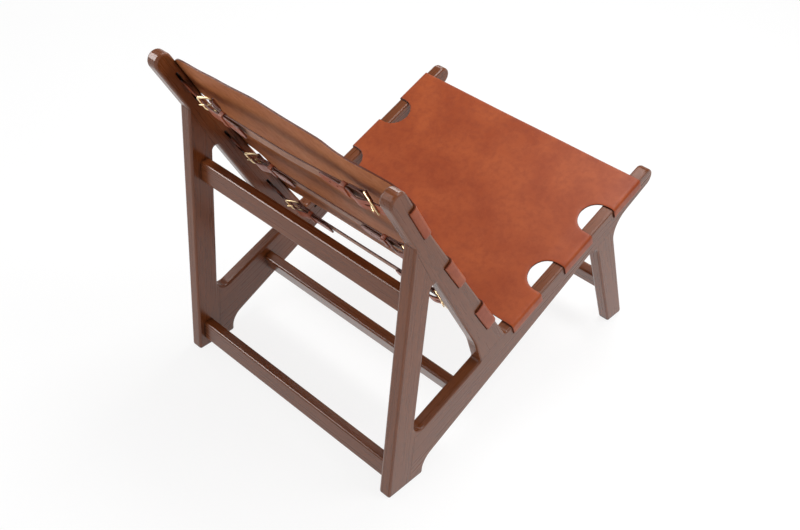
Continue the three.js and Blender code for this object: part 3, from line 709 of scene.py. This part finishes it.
def make_sling(sheet):
    """The net of a whole sheet: its middle, then each tab and tail column by column."""
    net = Net()
    rows_at = {}
    centre_columns = int(NOTCH_END / SHEET_STEP)
    for column in range(-centre_columns, centre_columns + 1):
        x = NOTCH_END * column / centre_columns
        rows_at[column] = set()
        for k in range(3):
            lines = tab_lines(sheet, k, x)
            for i, y in enumerate(lines):
                net.point((column, k * ROW_PITCH + i), bent(sheet, x, -y, MID + wave(sheet, x, y)))
                rows_at[column].add(k * ROW_PITCH + i)
            if k < 2:
                following = tab_lines(sheet, k + 1, x)[0]
                gap = np.linspace(lines[-1], following, NOTCH_ROWS + 1)[1:-1]
                for j, y in enumerate(gap):
                    row = k * ROW_PITCH + ROWS_IN_TAB + j
                    net.point((column, row), bent(sheet, x, -y, MID + wave(sheet, x, y)))
                    rows_at[column].add(row)
    r = sheet["notch_round"]
    bends = np.linspace(FIRST_BEND, math.pi / 2, NOTCH_COLUMNS)
    curve = [NOTCH_END + r * (1 - math.cos(a)) for a in bends]
    flat = curve + list(np.linspace(curve[-1], HALF_WIDTH - EDGE_ROUND, 4)[1:])
    holes = []
    for sign in (1, -1):
        for k in range(3):
            column = centre_columns
            for x in flat:
                column += 1
                lines = tab_lines(sheet, k, sign * x)
                rows = add_column(net, sheet, sign, column, k, lines, x, MID)
                rows_at.setdefault((sign * column, k), set()).update(rows)
            lines = tab_lines(sheet, k, HALF_WIDTH)
            for x, out in wrap_path(sheet["slots"][k]):
                column += 1
                rows = add_column(net, sheet, sign, column, k, lines, x, out)
                rows_at[(sign * column, k)] = rows
            middle = sum(sheet["tabs"][k]) / 2
            for x, out in tail_path(sheet, k, sign):
                column += 1
                half = tail_half(x)
                lines = list(lines)
                spread = np.linspace(middle - half, middle + half, TAIL_ROWS + 1)
                lines[TAB_ROWS:TAB_ROWS + TAIL_ROWS + 1] = spread
                rows = add_column(net, sheet, sign, column, k, lines, x, out, only_tail=True)
                rows_at[(sign * column, k)] = rows
                centre_row = k * ROW_PITCH + TAB_ROWS + TAIL_ROWS // 2
                if x == PRONG_HOLE:
                    holes.append(((sign * column, centre_row), PRONG_HOLE_HALVES))
                elif x in SPARE_HOLES:
                    holes.append(((sign * column, centre_row), SPARE_HOLE_HALVES))
    join_columns(net, rows_at, centre_columns)
    for key, halves in holes:
        net.hole(key, *halves)
    return net


def join_columns(net, rows_at, centre_columns):
    """Faces between neighbouring columns, on the rows that both of them have."""
    def join(a, b, rows_a, rows_b):
        for row in sorted(rows_a & rows_b):
            if row + 1 in rows_a and row + 1 in rows_b:
                net.quad((a, row), (b, row), (b, row + 1), (a, row + 1))

    for column in range(-centre_columns, centre_columns):
        join(column, column + 1, rows_at[column], rows_at[column + 1])
    for key, rows in list(rows_at.items()):
        if isinstance(key, tuple):
            column, k = key
            inner = column - int(math.copysign(1, column))
            inner_rows = rows_at.get((inner, k)) or rows_at.get(inner)
            join(inner, column, inner_rows, rows)


def flat_size(sheet, area):
    """The cut: how long it is from tip to tip of its tails, and its area, in metres."""
    fold = HALF_WIDTH - EDGE_ROUND
    path = [(fold, MID), *wrap_path(sheet["slots"][1]), *tail_path(sheet, 1, 1)]
    reach = sum(math.dist(a, b) for a, b in zip(path[:-1], path[1:]))
    across = 2 * (fold + reach)
    print(sheet["name"], "cut", round(across), "x", sheet["length"], "mm")
    print("area", round(area, 3), "m2")
    return (across * MM, sheet["length"] * MM)


def dress_sling(sheet):
    net = make_sling(sheet)
    area = sum(f.calc_area() for f in net.bm.faces) * MM * MM
    name = sheet["name"] + "_saddle_sheet"
    piece = piece_from(net.bm, name, [saddle_grain, saddle_flesh, burnished_edge],
                       thickness=LEATHER, round_edge=SHEET_RIM, matrix=sheet["matrix"])
    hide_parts(sheet["name"] + "_sling")
    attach(piece, "chair")
    flat_size(sheet, area)


for sheet in (BACK, SEAT):
    dress_sling(sheet)

# %% [markdown]
# ## Cross straps
# Each pair of tails is joined by a strap, dark on the side towards the sitter and tan behind.
# The tan is painted pale and greyish, as a painted sheen of the white floor mirrored in it.
# Each end goes round the buckle's heel bar and comes back on itself, with a slit where the prong
# leaves the bar. It is the same kind of net as the sheets, on a path that goes round both bars,
# and it sags a little between them, most in the loosest belt.

# %% Straps
FOLD_LENGTH, FOLD_STEP = 34, 3.5
SLIT_HALF, STRAP_LINE = 2.3, 8.4
RUN_END, NECK, NECK_RISE, FOLD_GAP = 14, 8, 2.6, 0.15
RUN_STEPS, TURN_STEPS, TURN_ANGLE = 22, 16, 125


def strap_path(depth, sag, sign):
    """From the middle of the chair to the end of the fold, as (across, out, slit)."""
    height = HEEL_RISE - depth
    half = STRAP_THICK / 2
    run = [(x, height - half - strap_drop(sag, sign * x), False)
           for x in np.linspace(0, HEEL_BAR - RUN_END, RUN_STEPS)]
    neck = strap_drop(sag, sign * (HEEL_BAR - NECK))
    around = BUCKLE_BAR + BELT_ROOM + half
    turn = arc((HEEL_BAR, height), around, -TURN_ANGLE, TURN_ANGLE, TURN_STEPS)
    flat = [(x, height + half + FOLD_GAP - strap_drop(sag, sign * x))
            for x in (HEEL_BAR - RUN_END, HEEL_BAR - 24, HEEL_BAR - FOLD_LENGTH)]
    back = smoothed([(HEEL_BAR - 6, height + NECK_RISE - neck), *flat], FOLD_STEP)
    return run + [(x, out, True) for x, out in turn] + [(x, out, False) for x, out in back]


def make_strap(sheet, k):
    """A whole cross strap, from the fold at its left buckle to the fold at its right one."""
    middle = sum(sheet["tabs"][k]) / 2
    lines = [-HALF_TAIL, -STRAP_LINE, -SLIT_HALF, SLIT_HALF, STRAP_LINE, HALF_TAIL]
    slit_row = 2
    net = Net()
    for sign in (1, -1):
        path = strap_path(belt_depth(sheet["slots"][k]), sheet["sags"][k], sign)
        for c, (x, out, _) in enumerate(path):
            if c == 0 and sign < 0:
                continue
            for r, line in enumerate(lines):
                net.point((sign * c, r), (sign * x, -middle - line, out))
    for sign in (1, -1):
        for c in range(len(path) - 1):
            slit = path[c][2] and path[c + 1][2]
            for r in range(len(lines) - 1):
                if not (slit and r == slit_row):
                    a, b = sign * c, sign * (c + 1)
                    net.quad((a, r), (b, r), (b, r + 1), (a, r + 1))
    name = f"{sheet['name']}_cross_belt_{k + 1}"
    # The strap's tan back carries a painted sheen of the mirrored white floor.
    piece = piece_from(net.bm, name, [strap_flesh_painted_sheen, strap_grain, burnished_edge],
                       thickness=STRAP_THICK, round_edge=0.5, matrix=row_matrix(sheet, k))
    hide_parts(f"{sheet['name']}_strap_{k + 1}")
    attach(piece, "chair")


for sheet in (BACK, SEAT):
    for k in range(3):
        make_strap(sheet, k)
print("straps", 6)

# %% [markdown]
# ## Keepers
# A keeper is a thin band sewn into a loop. It holds a tail flat against its strap. It is a
# rounded rectangle drawn out along the strap, given thickness and soft edges.

# %% Keepers
KEEPER_WIDTH, KEEPER_THICK, KEEPER_RIM = 10, 1.6, 0.45
KEEPER_ROUND, KEEPER_RINGS, ROUND_STEPS = 2.2, 4, 5


def rounded_loop(half_u, half_v, radius, steps):
    """The outline of a rounded rectangle."""
    loop = []
    for u, v, start in ((1, -1, -90), (1, 1, 0), (-1, 1, 90), (-1, -1, 180)):
        centre = (u * (half_u - radius), v * (half_v - radius))
        loop += arc(centre, radius, start, start + 90, steps)
    return loop


def skin(bm, rings, closed=False):
    """Faces between rings of points that follow each other, back to the first if closed."""
    following = rings[1:] + rings[:1] if closed else rings[1:]
    for a, b in zip(rings, following):
        for i in range(len(a)):
            j = (i + 1) % len(a)
            bm.faces.new((a[i], a[j], b[j], b[i]))


def keeper_loop(sheet, k, side, sign):
    slot = sheet["slots"][k]
    low = TAIL_AT_KEEPER - LEATHER / 2 - BELT_ROOM
    high = HEEL_RISE + BELT_ROOM
    half_wide = HALF_TAIL + BELT_ROOM + KEEPER_THICK / 2
    half_high = (high - low + KEEPER_THICK) / 2
    middle = sum(sheet["tabs"][k]) / 2
    centre = (low + high) / 2 - belt_depth(slot) - strap_drop(sheet["sags"][k], sign * KEEPER)
    loop = rounded_loop(half_wide, half_high, KEEPER_ROUND, ROUND_STEPS)
    bm = bmesh.new()
    rings = []
    for x in np.linspace(-KEEPER_WIDTH / 2, KEEPER_WIDTH / 2, KEEPER_RINGS):
        rings.append([bm.verts.new((sign * KEEPER + x, v - middle, w + centre)) for v, w in loop])
    skin(bm, rings)
    name = f"{sheet['name']}_keeper_band_{k + 1}_{side}"
    piece = piece_from(bm, name, [keeper_hide], thickness=KEEPER_THICK, round_edge=KEEPER_RIM,
                       matrix=row_matrix(sheet, k))
    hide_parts(f"{sheet['name']}_keeper_{k + 1}_{side}")
    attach(piece, "chair")


SIDES = (("left", 1), ("right", -1))
for sheet in (BACK, SEAT):
    for k in range(3):
        for side, sign in SIDES:
            keeper_loop(sheet, k, side, sign)
print("keepers", 12)

# %% [markdown]
# ## Buckles and prongs
# A buckle frame is a rounded rectangle of cast brass, thin across the two bars and broader at
# the sides. A ring of squarish oval sections follows it, each from the inner outline to the
# outer one. The prong is an eye round the heel bar with a tapered pin that rests on the front
# bar. Each prong is a moving body of its own, so it rides on that body.

# %% Brass pieces
OUTER_HALF, OUTER_ROUND = (15.75, 21.35), 7
INNER_HALF, INNER_ROUND = (12.25, 15.75), 3.2
CORNER_STEPS, SECTION_POINTS, SQUARENESS = 6, 16, 0.7
PRONG_HALF = 1.5
PRONG_OVER_BAR = math.asin((BUCKLE_BAR + PRONG_HALF + BELT_ROOM) / BUCKLE_REACH)


def buckle_matrix(sheet, k, sign):
    """The tilted space of one buckle: its front bar is at +x, its heel bar at -x."""
    middle = sum(sheet["tabs"][k]) / 2
    out = (HEEL_RISE - FRONT_DROP) / 2 - belt_depth(sheet["slots"][k])
    turn = Matrix.Identity(4) if sign > 0 else Matrix.Rotation(math.pi, 4, "Z")
    return row_matrix(sheet, k) @ Matrix.Translation((sign * BUCKLE, -middle, out)) @ turn \
        @ Matrix.Rotation(BUCKLE_TILT, 4, "Y")


def buckle_frame(sheet, k, side, sign):
    outer = rounded_loop(*OUTER_HALF, OUTER_ROUND, CORNER_STEPS)
    inner = rounded_loop(*INNER_HALF, INNER_ROUND, CORNER_STEPS)
    bm = bmesh.new()
    rings = []
    for (ou, ov), (iu, iv) in zip(outer, inner):
        middle = Vector(((ou + iu) / 2, (ov + iv) / 2, 0))
        reach = Vector(((ou - iu) / 2, (ov - iv) / 2, 0))
        ring = []
        for a in np.linspace(0, 2 * math.pi, SECTION_POINTS, endpoint=False):
            around = (math.cos(a), math.sin(a))
            across, up = (math.copysign(abs(v) ** SQUARENESS, v) for v in around)
            ring.append(bm.verts.new(middle + reach * across + Vector((0, 0, BUCKLE_BAR * up))))
        rings.append(ring)
    skin(bm, rings, closed=True)
    name = f"{sheet['name']}_buckle_frame_{k + 1}_{side}"
    piece = piece_from(bm, name, [brass], round_edge=None, matrix=buckle_matrix(sheet, k, sign))
    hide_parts(f"{sheet['name']}_buckle_{k + 1}_{side}")
    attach(piece, "chair")


PRONG_REACH = BUCKLE_REACH + BUCKLE_BAR + 2
EYE_INNER, EYE_OUTER, EYE_ROUND = 1.84, 3.25, 0.5
PRONG_SIDES, EYE_STEPS = 10, 20


def prong_sections():
    """The pin as rings of points from the eye to its rounded tip, by (reach, radius)."""
    direction = Vector((math.cos(PRONG_OVER_BAR), 0, -math.sin(PRONG_OVER_BAR)))
    side = Vector((0, 1, 0))
    lift = direction.cross(side)
    stops = [(2.4, 1.5), (6, 1.5), (14, 1.42), (24, 1.35), (29, 1.3), (30.6, 1.15), (31.4, 0.8),
             (PRONG_REACH, 0.25)]
    sections = []
    for reach, radius in stops:
        centre = direction * reach
        sections.append([centre + (side * math.cos(a) + lift * math.sin(a)) * radius
                         for a in np.linspace(0, 2 * math.pi, PRONG_SIDES, endpoint=False)])
    return sections


def prong(sheet, k, side, sign):
    bm = bmesh.new()
    rings = [[bm.verts.new(p) for p in section] for section in prong_sections()]
    skin(bm, rings)
    bm.faces.new(rings[-1])
    bm.faces.new(rings[0][::-1])
    profile = rounded_loop((EYE_OUTER - EYE_INNER) / 2, PRONG_HALF, EYE_ROUND, 2)
    radius = (EYE_OUTER + EYE_INNER) / 2
    eye = [[bm.verts.new(((radius + u) * math.cos(a), v, (radius + u) * math.sin(a)))
            for u, v in profile] for a in np.linspace(0, 2 * math.pi, EYE_STEPS, endpoint=False)]
    skin(bm, eye, closed=True)
    matrix = buckle_matrix(sheet, k, sign) @ Matrix.Translation((-BUCKLE_REACH / 2, 0, 0))
    name = f"{sheet['name']}_prong_pin_{k + 1}_{side}"
    body = f"{sheet['name']}_prong_{k + 1}_{side}"
    piece = piece_from(bm, name, [brass], round_edge=None, matrix=matrix)
    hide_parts(body)
    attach(piece, body)


for sheet in (BACK, SEAT):
    for k in range(3):
        for side, sign in SIDES:
            buckle_frame(sheet, k, side, sign)
            prong(sheet, k, side, sign)
print("buckles", 12)

# %% [markdown]
# ## Floor, room and lamps
# The chair stands in a white studio. The camera sees a white room. Mirrored, the room's walls
# are white too, but its ceiling is grey, so that leather and wood keep their colour from above.
# Light comes from a soft lamp overhead, a dimmer one at the right and one behind. Two bright
# cards on the left are seen only in mirrors: they draw the lines along the rails' edges and on
# the uprights' round tops. The floor is pale and keeps the chair's soft shadow.

# %% Studio
WHITE, FLOOR_GREY = (1, 1, 1, 1), (0.9, 0.9, 0.9, 1)
ROOM_LIGHT, CEILING, WALL_HEIGHT = 0.45, 0.25, 0.3
FLOOR_GLOW, MIRRORED_EXTRA, GLOW_SHARE = 1.06, 0.06, 0.8


def white_room(strength, ceiling):
    """White to the camera. Mirrors see white walls that darken to a grey ceiling."""
    world = bpy.data.worlds.new("studio")
    bpy.context.scene.world = world
    world.use_nodes = True
    tree = world.node_tree
    tree.nodes.clear()
    path = add(tree, "ShaderNodeLightPath")
    way = add(tree, "ShaderNodeTexCoord").outputs["Generated"]
    up = add(tree, "ShaderNodeSeparateXYZ", {0: way}).outputs["Z"]
    wall = add(tree, "ShaderNodeMapRange", {
        "Value": up, "From Min": 0.0, "From Max": WALL_HEIGHT, "To Min": 1.0, "To Max": ceiling})
    mirrored = add(tree, "ShaderNodeMath", {
        0: path.outputs["Is Glossy Ray"], 1: path.outputs["Is Transmission Ray"]},
        operation="MAXIMUM")
    dim = add(tree, "ShaderNodeBackground", {"Color": WHITE, "Strength": strength})
    walls = add(tree, "ShaderNodeBackground", {"Color": WHITE, "Strength": wall.outputs[0]})
    full = add(tree, "ShaderNodeBackground", {"Color": WHITE, "Strength": 1.0})
    lit = add(tree, "ShaderNodeMixShader", {
        0: mirrored.outputs[0], 1: dim.outputs[0], 2: walls.outputs[0]})
    mixed = add(tree, "ShaderNodeMixShader", {
        0: path.outputs["Is Camera Ray"], 1: lit.outputs[0], 2: full.outputs[0]})
    add(tree, "ShaderNodeOutputWorld", {"Surface": mixed.outputs[0]})


def floor_material():
    """Paint that takes the shadow, under a glow that the camera sees in part, mirrors in full."""
    material, tree, output = new_material("white_floor")
    path = add(tree, "ShaderNodeLightPath")
    paint = add(tree, "ShaderNodeBsdfDiffuse", {"Color": FLOOR_GREY})
    bright = add(tree, "ShaderNodeMath", {
        0: path.outputs["Is Glossy Ray"], 1: MIRRORED_EXTRA, 2: FLOOR_GLOW},
        operation="MULTIPLY_ADD")
    glow = add(tree, "ShaderNodeEmission", {"Color": WHITE, "Strength": bright.outputs[0]})
    seen = add(tree, "ShaderNodeMath", {0: path.outputs["Is Camera Ray"], 1: GLOW_SHARE},
               operation="MULTIPLY")
    seen = add(tree, "ShaderNodeMath", {0: seen.outputs[0], 1: path.outputs["Is Glossy Ray"]},
               operation="MAXIMUM")
    mixed = add(tree, "ShaderNodeMixShader", {
        0: seen.outputs[0], 1: paint.outputs[0], 2: glow.outputs[0]})
    tree.links.new(mixed.outputs[0], output.inputs[0])
    return material


def make_floor(half=8):
    mesh = bpy.data.meshes.new("floor")
    corners = [(-half, -half, 0), (half, -half, 0), (half, half, 0), (-half, half, 0)]
    mesh.from_pydata(corners, [], [(0, 1, 2, 3)])
    mesh.materials.append(floor_material())
    floor = bpy.data.objects.new("floor", mesh)
    bpy.context.scene.collection.objects.link(floor)


def soft_lamp(name, place, aim, wide, high, watts, mirrored_only=False):
    """A rectangular lamp that faces its aim. One for mirrors only adds no diffuse light."""
    data = bpy.data.lights.new(name, "AREA")
    data.shape = "RECTANGLE"
    data.size, data.size_y = wide, high
    data.energy = watts
    lamp = bpy.data.objects.new(name, data)
    bpy.context.scene.collection.objects.link(lamp)
    lamp.location = place
    lamp.visible_diffuse = not mirrored_only
    lamp.rotation_mode = "QUATERNION"
    lamp.rotation_quaternion = (Vector(aim) - Vector(place)).to_track_quat("-Z", "Y")


CHAIR_MIDDLE = (0, 0, 0.35)
CHAIR_BACK = (0, 0.3, 0.45)
white_room(ROOM_LIGHT, CEILING)
make_floor()
soft_lamp("overhead_softbox", (0.15, -0.85, 2.6), CHAIR_MIDDLE, 1.0, 1.0, 31)
soft_lamp("right_fill", (-1.3, -0.5, 2.5), CHAIR_MIDDLE, 1.0, 1.0, 18)
soft_lamp("rear_fill", (-0.4, 2.8, 1.9), CHAIR_MIDDLE, 1.4, 1.4, 10)
soft_lamp("rear_left_card", (1.8, 1.5, 1.75), CHAIR_BACK, 1.4, 1.5, 80, mirrored_only=True)
soft_lamp("front_left_card", (1.5, -1.9, 2.0), CHAIR_MIDDLE, 0.6, 0.35, 11, mirrored_only=True)

bpy.context.scene.view_settings.view_transform = "Standard"
print("studio ready")
